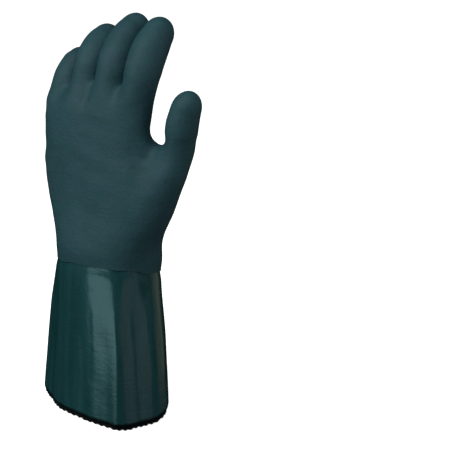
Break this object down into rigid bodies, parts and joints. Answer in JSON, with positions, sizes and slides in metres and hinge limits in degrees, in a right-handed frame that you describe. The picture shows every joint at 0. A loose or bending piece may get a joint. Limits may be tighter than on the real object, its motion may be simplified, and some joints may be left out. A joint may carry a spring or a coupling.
{
  "type": "pvc coated work glove",
  "caption": "Left-hand gauntlet work glove with a rough coated hand, a smooth flared cuff and a pinked cotton lining.",
  "frame": {"origin": "on the floor, under the middle of the glove's box, where the pinked hem stands", "axes": "+Z from the hem up to the fingertips, +X across the hand to the thumb, -Y out of the back of the hand"},
  "size_m": [0.1418, 0.0856, 0.3318],
  "materials": {
    "rough_coat": "sandy matte",
    "smooth_coat": "smooth gloss",
    "lining": "knitted"
  },
  "bodies": {
    "root": {"hand_shell": "rough_coat", "gauntlet_cuff": "smooth_coat", "cotton_lining": "lining"}
  },
  "joints": []
}
